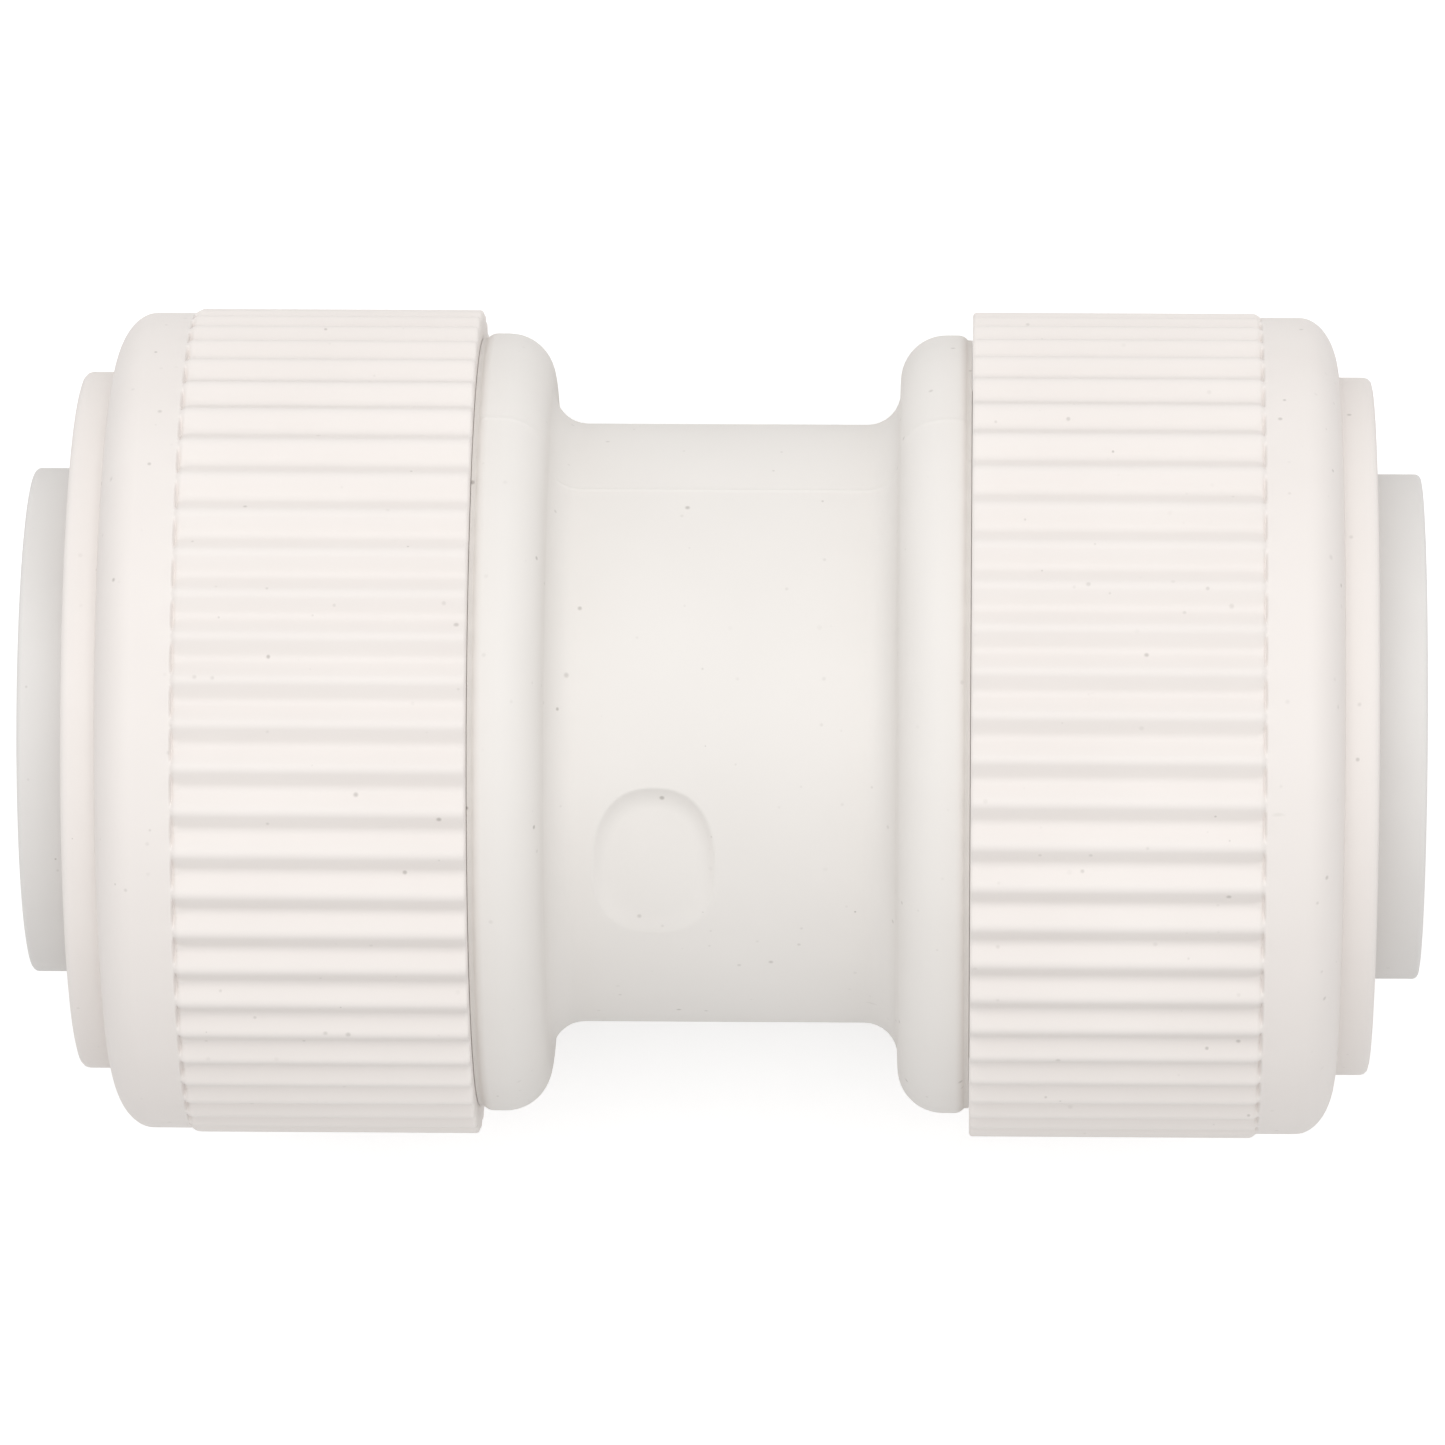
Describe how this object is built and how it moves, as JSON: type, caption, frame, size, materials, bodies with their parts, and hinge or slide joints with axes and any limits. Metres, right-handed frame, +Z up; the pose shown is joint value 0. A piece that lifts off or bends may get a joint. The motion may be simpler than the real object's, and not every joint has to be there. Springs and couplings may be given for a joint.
{
  "type": "push fit coupling",
  "caption": "Straight push fit coupling for 15 mm pipe: ribbed twist-lock screw caps, sprung grip collets and rubber seals on a flanged plastic body.",
  "frame": {"origin": "middle of the coupling, on the pipe axis", "axes": "+X along the pipe axis towards the right end, +Z up, away from the surface the coupling lies on; +Y completes a right-handed frame"},
  "size_m": [0.056, 0.0332, 0.0332],
  "materials": {
    "body_plastic": "white moulded plastic, soft sheen",
    "cap_plastic": "warm white moulded plastic, soft sheen",
    "collet_plastic": "greyer white acetal, smooth",
    "spacer_plastic": "plain moulded plastic",
    "seal_rubber": "black EPDM rubber",
    "tooth_steel": "stainless steel"
  },
  "bodies": {
    "body": {"coupling_body": "body_plastic", "right_o_ring": "seal_rubber", "left_o_ring": "seal_rubber"},
    "right_spacer": {"right_spacer_ring": "spacer_plastic"},
    "right_cap": {"right_screw_cap": "cap_plastic"},
    "right_collet_set": {"right_collet": "collet_plastic", "right_grip_tooth_1": "tooth_steel", "right_grip_tooth_2": "tooth_steel", "right_grip_tooth_3": "tooth_steel", "right_grip_tooth_4": "tooth_steel", "right_grip_tooth_5": "tooth_steel", "right_grip_tooth_6": "tooth_steel", "right_grip_tooth_7": "tooth_steel", "right_grip_tooth_8": "tooth_steel"},
    "left_spacer": {"left_spacer_ring": "spacer_plastic"},
    "left_cap": {"left_screw_cap": "cap_plastic"},
    "left_collet_set": {"left_collet": "collet_plastic", "left_grip_tooth_1": "tooth_steel", "left_grip_tooth_2": "tooth_steel", "left_grip_tooth_3": "tooth_steel", "left_grip_tooth_4": "tooth_steel", "left_grip_tooth_5": "tooth_steel", "left_grip_tooth_6": "tooth_steel", "left_grip_tooth_7": "tooth_steel", "left_grip_tooth_8": "tooth_steel"}
  },
  "joints": [
    {"name": "right_cap_travel", "type": "slide", "parent": "body", "child": "right_spacer", "axis": [1, 0, 0], "range_m": [0, 0.001]},
    {"name": "right_cap_twist", "type": "hinge", "parent": "right_spacer", "child": "right_cap", "pos_m": [0, 0, 0], "axis": [1, 0, 0], "range_deg": [0, 90]},
    {"name": "right_collet_pull", "type": "slide", "parent": "right_cap", "child": "right_collet_set", "axis": [1, 0, 0], "range_m": [0, 0.0022]},
    {"name": "left_cap_travel", "type": "slide", "parent": "body", "child": "left_spacer", "axis": [-1, 0, 0], "range_m": [0, 0.001]},
    {"name": "left_cap_twist", "type": "hinge", "parent": "left_spacer", "child": "left_cap", "pos_m": [0, 0, 0], "axis": [-1, 0, 0], "range_deg": [0, 90]},
    {"name": "left_collet_pull", "type": "slide", "parent": "left_cap", "child": "left_collet_set", "axis": [-1, 0, 0], "range_m": [0, 0.0022]}
  ],
  "couplings": [
    {"joint": "right_cap_travel", "follows": "right_cap_twist", "m_per_rad": 0.00063662},
    {"joint": "left_cap_travel", "follows": "left_cap_twist", "m_per_rad": 0.00063662}
  ]
}
